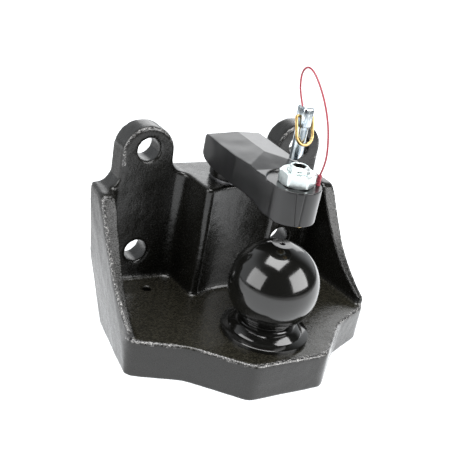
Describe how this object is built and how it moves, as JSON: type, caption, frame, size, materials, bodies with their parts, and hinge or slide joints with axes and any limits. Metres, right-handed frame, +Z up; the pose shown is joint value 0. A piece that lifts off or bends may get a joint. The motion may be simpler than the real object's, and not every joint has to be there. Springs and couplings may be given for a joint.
{
  "type": "tractor ball hitch",
  "caption": "Bolt-on cast bracket with an upright coupling ball and a swinging hold-down arm with an adjusting screw, lock nut and tethered linch pin.",
  "frame": {"origin": "centre of the four-bolt pattern on the rear mounting face", "axes": "+Y out of the mounting face towards the tractor, +X along the bracket's width, +Z up along the ball's stem"},
  "size_m": [0.25, 0.1825, 0.2628],
  "materials": {
    "casting_paint": "glossy black paint over a cast surface",
    "ball_paint": "high-gloss black paint over a turned surface",
    "arm_paint": "satin black paint over a forged surface",
    "collar_paint": "gloss black paint over a turned surface",
    "zinc": "bright zinc plating",
    "yellow_zinc": "yellow-passivated zinc plating",
    "spring_steel": "dark spring steel",
    "bronze": "plain turned bronze",
    "red_coating": "clear red plastic coating over wire"
  },
  "bodies": {
    "bracket": {"bracket_casting": "casting_paint", "ball_stud": "ball_paint", "ball_washer": "zinc", "ball_bolt": "zinc", "upper_bush": "bronze", "lower_bush": "bronze", "thrust_washer": "spring_steel"},
    "arm": {"hold_down_arm": "arm_paint", "pivot_shaft": "collar_paint", "pivot_washer": "zinc", "disc_spring": "spring_steel", "pivot_nut": "zinc", "split_pin": "zinc", "tip_stud": "yellow_zinc", "linch_pin": "zinc", "lanyard_wire": "red_coating", "wire_sleeve": "red_coating"},
    "screw_carrier": {"screw_pad": "yellow_zinc"},
    "screw": {"adjusting_screw": "zinc"},
    "nut": {"lock_nut": "zinc"},
    "bow": {"linch_pin_bow": "yellow_zinc"}
  },
  "joints": [
    {"name": "arm_swing", "type": "hinge", "parent": "bracket", "child": "arm", "pos_m": [0, -0.038, 0.03], "axis": [0, 0, 1], "range_deg": [-70, 70]},
    {"name": "screw_height", "type": "slide", "parent": "arm", "child": "screw_carrier", "axis": [0, 0, 1], "range_m": [-0.005, 0.01]},
    {"name": "screw_turn", "type": "hinge", "parent": "screw_carrier", "child": "screw", "pos_m": [0, -0.133, 0.05], "axis": [0, 0, 1], "range_deg": [-720.5, 1440.5]},
    {"name": "lock_nut_turn", "type": "hinge", "parent": "arm", "child": "nut", "pos_m": [0, -0.133, 0.063], "axis": [0, 0, 1], "continuous": true},
    {"name": "bow_flip", "type": "hinge", "parent": "arm", "child": "bow", "pos_m": [0.0245, -0.093, 0.1065], "axis": [-1, 0, 0], "range_deg": [0, 75]}
  ],
  "couplings": [
    {"joint": "screw_turn", "follows": "screw_height", "rad_per_m": 2513.3}
  ]
}
